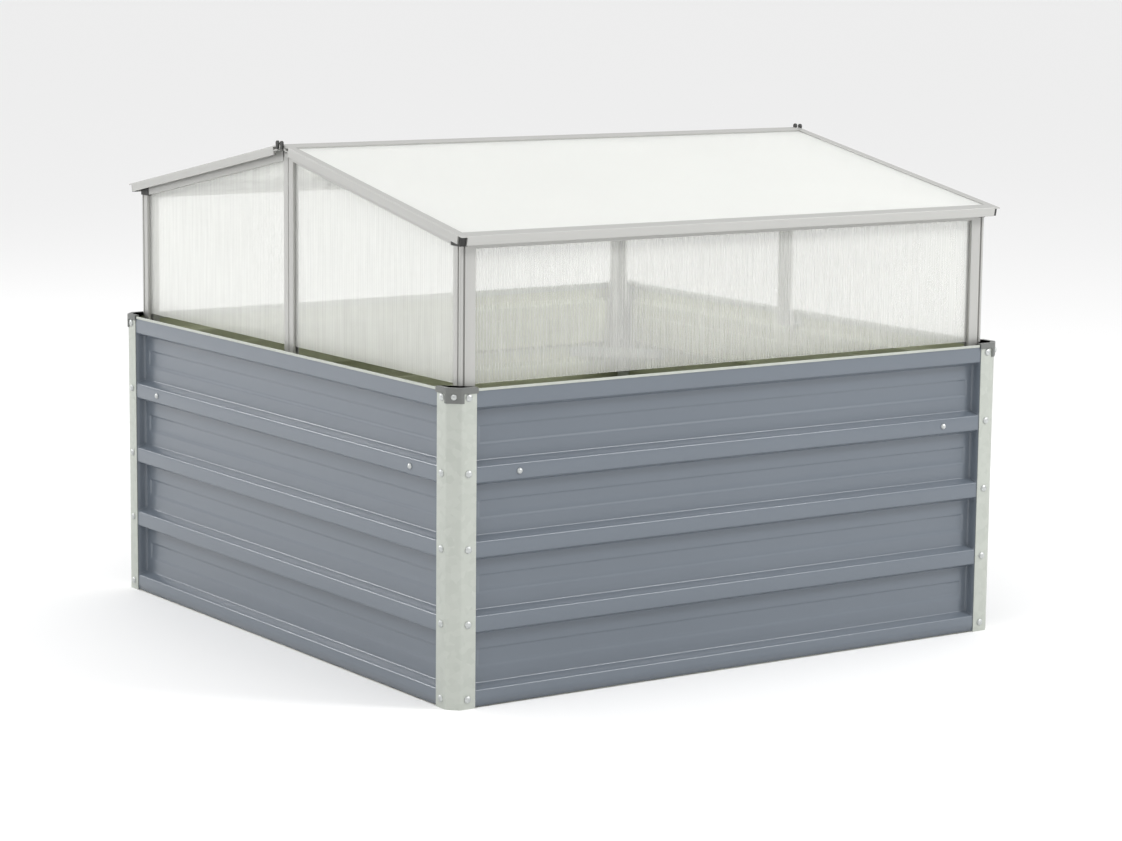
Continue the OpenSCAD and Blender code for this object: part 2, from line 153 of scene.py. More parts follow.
# %% An outline carried along a path
def carried(outline, stations, across, upward):
    """Point (i, j) is station i + outline x times across + outline y times upward.
    Both ends are closed, and all faces are turned round if the outline runs the
    other way about the path."""
    out = np.asarray(outline, float)
    across, upward = np.asarray(across, float), np.asarray(upward, float)
    path = np.asarray(stations, float)
    ring = path[:, None] + out[None, :, :1] * across + out[None, :, 1:] * upward
    m, n = ring.shape[:2]
    i, j = np.arange(m - 1)[:, None], np.arange(n)[None]
    quads = quad_ids(i, j, (j + 1) % n, n)
    step = np.linalg.norm(np.roll(out, -1, 0) - out, axis=1)
    girth = np.concatenate([[0], np.cumsum(step)])
    length = travelled(path)
    u = np.stack([girth[:-1], girth[1:], girth[1:], girth[:-1]], -1)[None].repeat(m - 1, 0)
    v = np.stack([length[:-1], length[:-1], length[1:], length[1:]], -1)
    v = v[:, None].repeat(n, 1)
    uv = np.stack([u, v], -1).reshape(-1, 4, 2)
    area = np.sum(out[:, 0] * np.roll(out[:, 1], -1) - np.roll(out[:, 0], -1) * out[:, 1])
    caps = [np.arange(n)[::-1], np.arange((m - 1) * n, m * n)]
    if area * np.dot(np.cross(across, upward), path[-1] - path[0]) < 0:
        quads, uv, caps = quads[:, ::-1], uv[:, ::-1], [c[::-1] for c in caps]
    faces = quads.tolist() + [c.tolist() for c in caps]
    corners = np.concatenate([uv.reshape(-1, 2), out[caps[0] % n], out[caps[1] % n]])
    return ring.reshape(-1, 3), faces, corners


# %% A profile turned on many axes at once
def turned(profile, centres, axes, sides=20):
    """Ring q of item c is centre + r_q (cos a, sin a) about the axis + z_q along it,
    with one point at the top pole and a closed disc at the bottom."""
    prof = np.asarray(profile, float)
    centre = np.atleast_2d(np.asarray(centres, float))
    axis = np.atleast_2d(np.asarray(axes, float))
    helper = np.where(np.abs(axis[:, 2:]) < 0.9, [[0, 0, 1.0]], [[1.0, 0, 0]])
    a_dir = np.cross(helper, axis)
    a_dir /= np.linalg.norm(a_dir, axis=1)[:, None]
    b_dir = np.cross(axis, a_dir)
    angle = np.linspace(0, 2 * np.pi, sides, endpoint=False)
    cos, sin = np.cos(angle)[None, :, None], np.sin(angle)[None, :, None]
    spoke = cos * a_dir[:, None] + sin * b_dir[:, None]
    rings = (
        centre[:, None, None]
        + prof[None, :-1, None, :1] * spoke[:, None]
        + prof[None, :-1, None, 1:] * axis[:, None, None]
    )
    rows = len(prof) - 1
    pole = centre + prof[-1, 1] * axis
    block = np.concatenate([rings.reshape(len(centre), -1, 3), pole[:, None]], 1)
    i, j = np.arange(rows - 1)[:, None], np.arange(sides)[None]
    quads = quad_ids(i, j, (j + 1) % sides, sides)
    last = (rows - 1) * sides + np.arange(sides)
    fan = np.stack([last, np.roll(last, -1), np.full(sides, rows * sides)], -1)
    one = quads.tolist() + fan.tolist() + [np.arange(sides)[::-1].tolist()]
    size = block.shape[1]
    faces = [[q + c * size for q in f] for c in range(len(centre)) for f in one]
    points = block.reshape(-1, 3)
    flat = np.concatenate([np.array(f) for f in faces])
    return points, faces, points[flat][:, :2]


# %% A sheet from a grid of points
def patch(points):
    """A grid of points, rows by columns, becomes quads; the sheet faces the way that
    rows cross columns. UV is the distance along the first row and first column."""
    grid = np.asarray(points, float)
    m, n = grid.shape[:2]
    i, j = np.arange(m - 1)[:, None], np.arange(n - 1)[None]
    quads = quad_ids(i, j, j + 1, n)
    u, v = travelled(grid[0]), travelled(grid[:, 0])
    flat = quads.reshape(-1)
    return grid.reshape(-1, 3), quads.tolist(), np.stack([u[flat % n], v[flat // n]], -1)


# %% [markdown]
# ## Putting a piece together
# A piece may hold several shapes, such as the two ends of a rail. `piece` joins them
# into one mesh at the origin, keeps creases sharp and rounded corners smooth, hangs
# the mesh on its CAD body and hides the CAD nodes it stands for.

# %% Make a piece
def piece(name, shapes, material, body, replaces=(), crease=32, inner=None):
    """One visible piece. Edges sharper than the crease (degrees) stay sharp, and
    inner is a second material for the far side of a sheet."""
    mesh = bpy.data.meshes.new(name)
    counts = np.cumsum([0] + [len(s[0]) for s in shapes])
    faces = [[q + c for q in f] for s, c in zip(shapes, counts) for f in s[1]]
    mesh.from_pydata(np.concatenate([s[0] for s in shapes]), [], faces)
    layer = mesh.uv_layers.new(name="surface")
    uv = np.concatenate([s[2] for s in shapes]).astype(np.float32)
    layer.data.foreach_set("uv", uv.ravel())
    mesh.polygons.foreach_set("use_smooth", np.ones(len(mesh.polygons), bool))
    mesh.set_sharp_from_angle(angle=math.radians(crease))
    mesh.materials.append(material)
    if inner is not None:
        mesh.materials.append(inner)
    mesh.validate()
    obj = bpy.data.objects.new(name, mesh)
    bpy.context.collection.objects.link(obj)
    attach(obj, body)
    if replaces:
        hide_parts(*replaces)
    return obj


def eased(obj, width):
    """A two-step bevel on every edge sharper than 50 degrees."""
    ease = obj.modifiers.new("eased", "BEVEL")
    ease.width, ease.segments = width, 2
    ease.limit_method, ease.angle_limit = "ANGLE", math.radians(50)


# %% [markdown]
# ## Materials
# One helper adds a node with its settings and links. Colours are written as sRGB hex,
# the way a colour chart gives them, and turned to linear light by one function.

# %% Node helper and colours
def linear(code):
    """sRGB hex to linear light: c/12.92 below 0.04045, else ((c+0.055)/1.055)^2.4."""
    c = np.array([int(code[i : i + 2], 16) / 255 for i in (1, 3, 5)])
    c = np.where(c <= 0.04045, c / 12.92, ((c + 0.055) / 1.055) ** 2.4)
    return (*c.tolist(), 1.0)


def node(tree, kind, settings=None, **links):
    """Adds one node. A setting with a plain name is an attribute of the node, and one
    that names an input is its value. A link gives an input, by name with _ for a
    space or as in0, in1..., the output socket that feeds it."""
    made = tree.nodes.new(kind)
    for key, value in (settings or {}).items():
        if hasattr(made, key):
            setattr(made, key, value)
        else:
            made.inputs[key].default_value = value
    for key, socket in links.items():
        numbered = key.startswith("in") and key[2:].isdigit()
        tree.links.new(socket, made.inputs[int(key[2:]) if numbered else key.replace("_", " ")])
    return made


def shader(name, **settings):
    """A new material with its Principled shader, ready for nodes in front of it."""
    material = bpy.data.materials.new(name)
    material.use_nodes = True
    tree = material.node_tree
    base = tree.nodes["Principled BSDF"]
    for key, value in settings.items():
        base.inputs[key.replace("_", " ")].default_value = value
    return material, tree, base


# %% Steps that most finishes share
def place_on(tree, kind="Object"):
    return node(tree, "ShaderNodeTexCoord").outputs[kind]


def noise(tree, place, scale, detail):
    return node(tree, "ShaderNodeTexNoise", {"Scale": scale, "Detail": detail}, Vector=place)


def stretched(tree, place, scale):
    """The place multiplied by a scale in each direction, for patterns that run one way."""
    mapping = node(tree, "ShaderNodeMapping", Vector=place)
    mapping.inputs["Scale"].default_value = scale
    return mapping.outputs[0]


def toned(tree, base, factor, dark, light):
    """Base colour that moves from dark to light with the factor."""
    tone = node(tree, "ShaderNodeMix", {"data_type": "RGBA"}, in0=factor)
    tone.inputs[6].default_value, tone.inputs[7].default_value = linear(dark), linear(light)
    tree.links.new(tone.outputs[2], base.inputs["Base Color"])


def roughened(tree, base, factor, low, high):
    rough = node(tree, "ShaderNodeMapRange", {"To Min": low, "To Max": high}, Value=factor)
    tree.links.new(rough.outputs[0], base.inputs["Roughness"])


def bumped(tree, base, height, strength, distance):
    bump = node(tree, "ShaderNodeBump", {"Strength": strength, "Distance": distance},
                Height=height)
    tree.links.new(bump.outputs[0], base.inputs["Normal"])


print("shading helpers ready")

# %% [markdown]
# ### Coil-coated steel
# The walls are pressed from steel that was painted on the coil: a thin matt film of
# polyester, a few hundredths of a millimetre thick. Its faint orange peel has a wave
# of about 2 mm, and handling leaves broad, very soft changes of tone.

# %% Coated steel, outside and inside
def coated_steel(name, face, shade, roughness):
    material, tree, base = shader(name, IOR=1.5, Coat_Weight=0.3, Coat_Roughness=0.14)
    place = place_on(tree)
    cloud = noise(tree, place, 5.0, 3.0).outputs["Fac"]
    peel = noise(tree, place, 450.0, 2.0).outputs["Fac"]
    toned(tree, base, cloud, shade, face)
    roughened(tree, base, cloud, roughness - 0.05, roughness + 0.06)
    bumped(tree, base, peel, 0.05, 0.0004)
    return material


wall_paint = coated_steel("coil_coated_steel_slate_grey", "#656d76", "#606871", 0.36)
back_coat = coated_steel("coil_back_coat_cream_olive", "#b2b698", "#aaae91", 0.55)
print("walls:", wall_paint.name, "inside:", back_coat.name)

# %% [markdown]
# ### Galvanised steel
# The corner posts were dipped in zinc, which freezes in crystals a centimetre or so
# across. Each crystal throws the light back a little differently, so a cell pattern
# changes the roughness and, slightly, the tone. Bare metal has Metallic 1, as the
# screws do. The sheet has about a half, a choice that stands for its dull oxide film.

# %% Galvanised steel
def galvanised(name, light, dark, cell_mm):
    material, tree, base = shader(name, Metallic=0.55)
    place = place_on(tree)
    warp = noise(tree, place, 160.0, 2.0).outputs["Color"]
    shift = node(tree, "ShaderNodeVectorMath", {"operation": "MULTIPLY_ADD"}, in0=warp, in2=place)
    shift.inputs[1].default_value = (0.004, 0.004, 0.004)
    cells = node(tree, "ShaderNodeTexVoronoi", {"Scale": 1000.0 / cell_mm},
                 Vector=shift.outputs[0])
    grey = node(tree, "ShaderNodeSeparateColor", Color=cells.outputs["Color"])
    toned(tree, base, grey.outputs[0], dark, light)
    roughened(tree, base, grey.outputs[1], 0.42, 0.54)
    return material


zinc_sheet = galvanised("hot_dip_galvanised_steel", "#b9bdb6", "#b3b7b0", 9)
zinc_screw = galvanised("bright_zinc_plate", "#c6c9c8", "#b9bcbb", 3)
zinc_screw.node_tree.nodes["Principled BSDF"].inputs["Metallic"].default_value = 1.0
print("zinc:", zinc_sheet.name, zinc_screw.name)

# %% [markdown]
# ### Mill-finish aluminium
# The house's bars were pushed through a die, which draws fine lines along them. The
# lines follow the piece's own surface coordinates: narrow around the outline and very
# long down its length. They are 0.8 mm apart here. Metallic is a half for the same
# reason as on the posts: a dull surface.

# %% Extruded aluminium
def extruded_aluminium(name, light, dark, roughness):
    material, tree, base = shader(name, Metallic=0.5)
    lines = noise(tree, stretched(tree, place_on(tree, "UV"), (1250.0, 4.0, 1.0)), 1.0, 4.0)
    toned(tree, base, lines.outputs["Fac"], dark, light)
    roughened(tree, base, lines.outputs["Fac"], roughness - 0.06, roughness + 0.08)
    bumped(tree, base, lines.outputs["Fac"], 0.08, 0.0002)
    return material


aluminium = extruded_aluminium("mill_finish_aluminium_extrusion", "#b8b8b5", "#afafac", 0.4)
print("house bars:", aluminium.name)

# %% [markdown]
# ### Twin-wall polycarbonate
# Two thin skins joined by upright ribs about 5 mm apart. The sheet scatters light, so
# what is behind it shows as if through milk, and the ribs show as faint stripes. A
# partly open surface gives both: each skin hides a share of what is behind it, and
# more of it where a rib stands. No two ribs are quite alike, and each changes slowly
# up the sheet, so what is behind is seen in uneven streaks. Looked at aslant, the
# ribs stand closer together and hide more, which the facing weight adds. A real sheet
# also bends the light sideways. That is left out, so edges behind it stay straight.

# %% Clear twin-wall sheet
RIB_PITCH = 5 * MM


def twin_wall(name, dark, light, hides, rib_hides, uneven, roughness):
    """Hidden share = a level that rises on each rib + uneven streaks + 0.35 facing."""
    material, tree, base = shader(name, IOR=1.58, Roughness=roughness)
    surface = place_on(tree, "UV")
    across = node(tree, "ShaderNodeSeparateXYZ", Vector=surface).outputs[0]
    turns = node(tree, "ShaderNodeMath", {"operation": "MULTIPLY"}, in0=across)
    turns.inputs[1].default_value = 2 * math.pi / RIB_PITCH
    wave = node(tree, "ShaderNodeMath", {"operation": "COSINE"}, in0=turns.outputs[0])
    levels = {"From Min": 0.55, "From Max": 0.95, "To Min": hides, "To Max": rib_hides}
    rib = node(tree, "ShaderNodeMapRange", levels, Value=wave.outputs[0])
    streak = noise(tree, stretched(tree, surface, (0.7 / RIB_PITCH, 9.0, 1.0)), 1.0, 1.0)
    levels = {"From Min": 0.3, "From Max": 0.7, "To Min": -uneven, "To Max": uneven}
    spread = node(tree, "ShaderNodeMapRange", levels, Value=streak.outputs["Fac"])
    streaky = node(tree, "ShaderNodeMath", {"operation": "ADD"},
                   in0=rib.outputs[0], in1=spread.outputs[0])
    slant = node(tree, "ShaderNodeLayerWeight", {"Blend": 0.5}).outputs["Facing"]
    total = node(tree, "ShaderNodeMath", {"operation": "MULTIPLY_ADD", "use_clamp": True},
                 in0=slant, in2=streaky.outputs[0])
    total.inputs[1].default_value = 0.35
    tree.links.new(total.outputs[0], base.inputs["Alpha"])
    toned(tree, base, noise(tree, place_on(tree), 7.0, 2.0).outputs["Fac"], dark, light)
    return material


clear_sheet = twin_wall("clear_twin_wall_polycarbonate", "#f0f1ed", "#f3f4f0",
                        hides=0.2, rib_hides=0.26, uneven=0.03, roughness=0.25)
print("walls of the house:", clear_sheet.name)

# %% [markdown]
# The roof's sheet is opal: nothing is seen through it, but about half the light comes
# through, scattered. A rough transmission does that, and it lights the bed inside.

# %% Opal sheet
def opal(name, dark, light):
    material, tree, base = shader(name, Roughness=0.6, Transmission_Weight=0.45)
    toned(tree, base, noise(tree, place_on(tree), 6.0, 2.0).outputs["Fac"], dark, light)
    return material


opal_sheet = opal("opal_twin_wall_polycarbonate", "#f0f1ee", "#f4f5f2")
print("roof:", opal_sheet.name)

# %% [markdown]
# ### Moulded plastics
# The caps are taken as grey polypropylene and the joints as black nylon, the usual
# choices. Both come from a spark eroded mould, which leaves an even grain of about
# half a millimetre.

# %% Moulded plastic
def moulded(name, light, dark, roughness):
    material, tree, base = shader(name, IOR=1.49)
    grain = noise(tree, place_on(tree), 2000.0, 2.0).outputs["Fac"]
    toned(tree, base, grain, dark, light)
    roughened(tree, base, grain, roughness - 0.05, roughness + 0.05)
    bumped(tree, base, grain, 0.15, 0.0001)
    return material


grey_plastic = moulded("moulded_polypropylene_grey", "#6e706e", "#646664", 0.5)
black_plastic = moulded("moulded_nylon_black", "#2b2b29", "#232322", 0.45)
print("plastics:", grey_plastic.name, black_plastic.name)

# %% [markdown]
# ## The ribbed wall panels
# Each wall is one steel sheet, 0.8 mm thick here, with four wide pockets pressed in.
# Three flat ribs are left between them, and a band above and below. A pressed sheet is a
# height field: depth is a formula of the place along the wall and the height, so a
# grid gives it in one step, and Solidify gives it its thickness. The pocket's top
# wall falls, its lower ledge rises, and its ends are almost square to the wall. The
# middle third of each pocket is pressed a little deeper, which stiffens it.

# %% Wall panels
PANEL_INSET, SHEET = 1.2 * MM, 0.8 * MM
POCKETS, POCKET_HIGH, RIB = 4, 82.2 * MM, 23.1 * MM
POCKET_DEPTH, LEDGE_RISE, TOP_FALL, END_RUN = 16 * MM, 5.3 * MM, 5 * MM, 2.2 * MM
SECOND_DEPTH = 1.5 * MM
FIRST_POCKET_TOP = BED_TOP - 25.6 * MM
PANEL_END, PANEL_FOOT = 17 * MM, 2 * MM


def ramp(t, ease=0.2):
    """0 below 0 and 1 above 1, straight between, with both bends eased:
    half of sqrt(t^2 + e^2) - sqrt((t-1)^2 + e^2) + 1."""
    return (np.sqrt(t**2 + ease**2) - np.sqrt((t - 1) ** 2 + ease**2) + 1) / 2


def pocket_depth(along, height, half):
    """Full depth times the end ramp times the sum over the pockets of the smaller of
    their lower and upper ramps, plus a shallow second pressing in the middle third."""
    ends = ramp((half - FLANGE - np.abs(along)) / END_RUN)
    inner = ramp((half - FLANGE - 13 * MM - np.abs(along)) / (4 * MM))
    total, second = np.zeros_like(along * height), np.zeros_like(along * height)
    third = POCKET_HIGH / 3
    for k in range(POCKETS):
        high = FIRST_POCKET_TOP - k * (POCKET_HIGH + RIB)
        low = high - POCKET_HIGH
        rise, fall = ramp((height - low) / LEDGE_RISE), ramp((high - height) / TOP_FALL)
        total = total + np.minimum(rise, fall)
        rise = ramp((height - low - third) / (4 * MM))
        fall = ramp((high - third - height) / (2 * MM))
        second = second + np.minimum(rise, fall)
    return POCKET_DEPTH * ends * total + SECOND_DEPTH * inner * second


def dense(start, stop, places, step, reach, fine):
    """Even steps from start to stop, with fine steps within reach of the given places."""
    offsets = np.arange(-reach, reach + 1e-9, fine)
    close = (np.array(places)[:, None] + offsets).ravel()
    every = np.concatenate([np.arange(start, stop, step), [stop], close])
    return np.unique(np.round(every[(every >= start) & (every <= stop)], 5))


pocket_tops = FIRST_POCKET_TOP - np.arange(POCKETS) * (POCKET_HIGH + RIB)
thirds = np.concatenate([pocket_tops - POCKET_HIGH * f for f in (1 / 3, 2 / 3)])
bends = np.concatenate([pocket_tops - TOP_FALL / 2, pocket_tops - POCKET_HIGH + LEDGE_RISE / 2])
rows = np.union1d(dense(PANEL_FOOT, BED_TOP, bends, 12 * MM, 4.4 * MM, 0.4 * MM),
                  dense(PANEL_FOOT, BED_TOP, thirds, 12 * MM, 4 * MM, 1 * MM))
for side, (at, along_dir, in_dir, half) in WALLS.items():
    edge = half - FLANGE
    ends = [edge, -edge, edge - 15 * MM, 15 * MM - edge]
    columns = dense(PANEL_END - half, half - PANEL_END, ends, 60 * MM, 4 * MM, 0.8 * MM)
    x, z = np.meshgrid(columns, rows)
    depth = PANEL_INSET + pocket_depth(x, z, half)
    grid = at + x[..., None] * along_dir + depth[..., None] * in_dir + z[..., None] * UP
    panel = piece(f"wall_{side}", [patch(grid)], wall_paint, "frame",
                  [f"wall_panel_{side}"], 40, back_coat)
    thick = panel.modifiers.new("sheet", "SOLIDIFY")
    thick.thickness, thick.offset, thick.material_offset = SHEET, -1, 1
print(f"wall grid {len(rows)} x {len(columns)}, pockets from {np.round(pocket_tops * 1000, 1)} mm")

# %% [markdown]
# ## Corner posts of the bed
# Each post is a strip of galvanised sheet bent twice, so that the corner is cut off
# at 45 degrees. The bends have a radius of about 2 mm, which catches a line of light.
# One outline, drawn from the virtual corner, carried up the height.

# %% Corner posts
POST_SHEET, CHAMFER = 1.2 * MM, 15 * MM


def corner_axes(signs):
    """The virtual corner and the two directions that run from it into the walls."""
    sx, sy = signs
    at = np.array((sx * BED_X, sy * BED_Y, 0.0))
    return at, np.array((-sx, 0.0, 0.0)), np.array((0.0, -sy, 0.0))


def angle_outline(leg, out, thick, bend):
    """The chamfered angle, its outer face moved out and its wall given a thickness.
    Moving a face out by w moves the two ends of the 45 degree cut by w (sqrt(2) - 1)."""
    inner = thick - out
    cut, inner_cut = CHAMFER - out * 0.4142, CHAMFER + inner * 0.4142
    outer = [(-out, leg), (-out, cut), (cut, -out), (leg, -out)]
    back = [(leg, inner), (inner_cut, inner), (inner, inner_cut), (inner, leg)]
    radii = [0.3 * MM, bend, bend, 0.3 * MM, 0.3 * MM, bend * 0.6, bend * 0.6, 0.3 * MM]
    return rounded(outer + back, radii)


for name, signs in CORNERS.items():
    at, u_dir, v_dir = corner_axes(signs)
    outline = angle_outline(FLANGE, 0, POST_SHEET, 2.5 * MM)
    shape = carried(outline, [at, at + UP * BED_TOP], u_dir, v_dir)
    piece(f"corner_post_{name}", [shape], zinc_sheet, "frame",
          [f"bed_post_{name}"])
print("corner posts, flange", round(FLANGE * 1000, 1), "mm")

# %% [markdown]
# ## Caps and edge trims
# A grey cap closes the top of each post: a band around the post, a lid with an eased
# edge, and a tongue down the chamfer for its screw. Bright U-shaped trims cover the
# cut edges of the walls between the caps.

# %% Caps
CAP_LEG, CAP_WALL, CAP_TOP = 42 * MM, 1.5 * MM, BED_TOP + 3.5 * MM
TAB_LEG, TAB_LOW = 19 * MM, BED_TOP - 18 * MM
for name, signs in CORNERS.items():
    at, u_dir, v_dir = corner_axes(signs)
    slim = CAP_WALL - 0.05 * MM
    band = angle_outline(CAP_LEG, CAP_WALL, slim, 2 * MM)
    lid = angle_outline(CAP_LEG - 0.4 * MM, CAP_WALL - 0.4 * MM, CAP_WALL + 6 * MM, 2 * MM)
    tab = angle_outline(TAB_LEG, CAP_WALL, slim, 2 * MM)
    shapes = [carried(outline, [at + UP * low, at + UP * high], u_dir, v_dir)
              for outline, low, high in ((band, BED_TOP - 5 * MM, CAP_TOP - 1 * MM),
                                         (lid, BED_TOP + 0.2 * MM, CAP_TOP),
                                         (tab, TAB_LOW, BED_TOP - 5 * MM))]
    cap = piece(f"post_lid_{name}", shapes, grey_plastic, "frame",
                [f"post_cap_{name}"])
    eased(cap, 0.35 * MM)
print("caps up to", round(CAP_TOP * 1000, 1), "mm")

# %% Edge trims
TRIM_TOP = BED_TOP + 1.5 * MM
for side, (at, along_dir, in_dir, half) in WALLS.items():
    reach = half - CAP_LEG - 1 * MM
    outer, inner, thick = 0.2 * MM, 3 * MM, 0.95 * MM
    front, back = TRIM_TOP - 3.7 * MM, TRIM_TOP - 10.5 * MM
    outline = rounded([(outer, front), (outer + thick, front), (outer + thick, BED_TOP),
                       (inner - thick, BED_TOP), (inner - thick, back), (inner, back),
                       (inner, TRIM_TOP), (outer, TRIM_TOP)],
                      [0.3 * MM] * 2 + [0.1 * MM] * 2 + [0.3 * MM] * 2 + [0.7 * MM] * 2)
    shape = carried(outline, [at - along_dir * reach, at + along_dir * reach], in_dir, UP)
    piece(f"trim_{side}", [shape], zinc_sheet, "frame", [f"edge_trim_{side}"])
print("trims up to", round(TRIM_TOP * 1000, 1), "mm")

# %% [markdown]
# ## Screws
# Five dome-head screws hold each flange and one holds each cap. A screw is a profile
# turned on its axis, and all screws of a kind are turned at once from arrays of
# places and directions. The bolts in the walls' second rib keep their CAD shape.

# %% Where the screws sit
def dome(radius, height, shank, length, steps=7):
    """A profile from the shank's end to the top of the head: the head is a quarter
    ellipse on a short upright rim."""
    t = np.linspace(0, np.pi / 2, steps)
    head = np.stack([radius * np.cos(t), height * (0.2 + 0.8 * np.sin(t))], -1)
    return np.concatenate([[(shank, -length), (shank, 0), (radius, 0)], head])


screw_rows = np.linspace(14 * MM, BED_TOP - 10.5 * MM, 5)
flange_at, inward = [], []
for at, along_dir, in_dir, half in WALLS.values():
    for end in (-1, 1):
        foot = at + along_dir * end * (half - 27 * MM)
        flange_at += [foot + UP * h for h in screw_rows]
        inward.append(in_dir)
flange_out = -np.repeat(np.array(inward), len(screw_rows), 0)
screws = turned(dome(5.3 * MM, 3 * MM, 3 * MM, 8 * MM), flange_at, flange_out)
piece("flange_screws", [screws], zinc_screw, "frame", ["panel_screws"], 40)
cap_at, cap_out = [], []
for signs in CORNERS.values():
    at, u_dir, v_dir = corner_axes(signs)
    outward = -(u_dir + v_dir) / math.sqrt(2)
    middle = at + (u_dir + v_dir) * CHAMFER / 2
    cap_at.append(middle + UP * (BED_TOP - 9 * MM) + outward * CAP_WALL)
    cap_out.append(outward)
cap_heads = turned(dome(4.2 * MM, 2.4 * MM, 2 * MM, 8 * MM), cap_at, cap_out)
piece("cap_dome_screws", [cap_heads], zinc_screw, "frame", ["cap_screws"], 40)
print(len(flange_at), "flange screws,", len(cap_at), "cap screws")

# %% [markdown]
# ## Posts of the house
# The house's corner posts are one extrusion: a rounded bead on the very corner, a
# groove on each side of it, two flat faces, and slots behind them for the panes. The
# centre posts have a groove down the middle and a slot on each side.

# %% Corner posts of the house
HOUSE = [np.array(p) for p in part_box("house_post_front_left")]
GABLE_FACE, EAVE_FACE = -HOUSE[0][0], -HOUSE[0][1]
FOOT, HEAD = HOUSE[0][2], HOUSE[1][2]
SLOT_NEAR, SLOT_FAR = 4.9 * MM, 9.1 * MM


def post_outline():
    """The post's section from its outer corner, u along the eave wall and v along
    the gable wall, walked round once."""
    groove, deep, core, slot, lip = 4.5, 3.0, 10.6, (4.9, 9.1), 1.5
    u_end, v_end = 25.0, 19.0
    half = [(groove, 0), (groove, deep), (groove + 3, deep), (groove + 3, 0), (u_end, 0),
            (u_end, slot[0]), (core, slot[0]), (core, slot[1]), (u_end, slot[1]),
            (u_end, slot[1] + lip), (core, slot[1] + lip)]
    other = [(slot[1] + lip, v_end), (slot[1], v_end), (slot[1], core), (slot[0], core),
             (slot[0], v_end), (0, v_end), (0, groove + 3), (deep, groove + 3),
             (deep, groove), (0, groove)]
    radii = [0.5] * len(half) + [0.5] * len(other) + [2.2]
    return rounded(np.array(half + other + [(0, 0)]) * MM, np.array(radii) * MM)


for name, (sx, sy) in CORNERS.items():
    at = np.array((sx * GABLE_FACE, sy * EAVE_FACE, 0.0))
    shape = carried(post_outline(), [at + UP * FOOT, at + UP * HEAD], (-sx, 0, 0), (0, -sy, 0))
    piece(f"house_corner_{name}", [shape], aluminium, "frame",
          [f"house_post_{name}"])
print(f"house {2000 * GABLE_FACE:.0f} x {2000 * EAVE_FACE:.0f} mm")

# %% Centre posts of the gables
for side, sx in (("left", -1), ("right", 1)):
    low, high = (np.array(p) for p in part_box(f"gable_centre_post_{side}"))
    front = max(abs(low[0]), abs(high[0]))
    slot_in, slot_out = GABLE_FACE - SLOT_NEAR, GABLE_FACE - SLOT_FAR
    back = slot_out - 1.5 * MM
    half_w, core, groove = 14 * MM, 6 * MM, 1.0 * MM
    right_side = [(front, groove), (front, half_w), (slot_in, half_w), (slot_in, core),
                  (slot_out, core), (slot_out, half_w), (back, half_w)]
    mirrored = [(x, -y) for x, y in right_side[::-1]]
    floor_of_groove = [(front - 1.5 * MM, -groove), (front - 1.5 * MM, groove)]
    outline = rounded(right_side + mirrored + floor_of_groove, 0.5 * MM)
    shape = carried(outline, [UP * low[2], UP * high[2]], (sx, 0, 0), (0, 1, 0))
    piece(f"house_centre_{side}", [shape], aluminium, "frame",
          [f"gable_centre_post_{side}"])
print("centre posts", round(2000 * half_w), "mm wide")

# %% [markdown]
# ## The roof's directions
# Both lids turn on beads beside the ridge. A lid is described in its own directions:
# along the ridge, down the slope from the hinge axis, and square to the pane. The
# hinge axes come from the record, and the slope is the one the CAD model is built to.

# %% Lid axes
joints = {j["name"]: j for j in frame["record"]["behaviour"]["joints"]}
SLOPE = math.radians(10.76)
LIDS = {}
for side, sy in (("front", -1), ("back", 1)):
    hinge = np.array(joints[f"lid_{side}_hinge"]["pos_m"], float)
    down = np.array((0, sy * math.cos(SLOPE), -math.sin(SLOPE)))
    square = np.array((0, sy * math.sin(SLOPE), math.cos(SLOPE)))
    LIDS[side] = (hinge, down, square)
HINGE_Y, HINGE_Z = LIDS["back"][0][1], LIDS["back"][0][2]
ROOF_TOP = 4.1 * MM
LID_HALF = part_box("lid_front_corner_pieces")[1][0]
EAVE_Y = -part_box("lid_front_eave_rail")[0][1]
LID_RUN = (EAVE_Y - HINGE_Y - ROOF_TOP * math.sin(SLOPE)) / math.cos(SLOPE)


def roof_z(y, square_off):
    """Height above ground of a plane parallel to a lid, at a distance y from the ridge."""
    return HINGE_Z - (y - HINGE_Y) * math.tan(SLOPE) + square_off / math.cos(SLOPE)


print(f"lid {1000 * LID_RUN:.1f} mm down the slope, half length {1000 * LID_HALF:.1f} mm")

# %% [markdown]
# ## Rafters, eave rails and ridge
# The rafters carry the gable panes in a slot on their underside. Their ends are cut
# upright, so the section is kept in an upright plane and slid along the slope. The
# frame's eave rails and the ridge beam hide under the lids and stay as the CAD model
# has them, with the same aluminium.

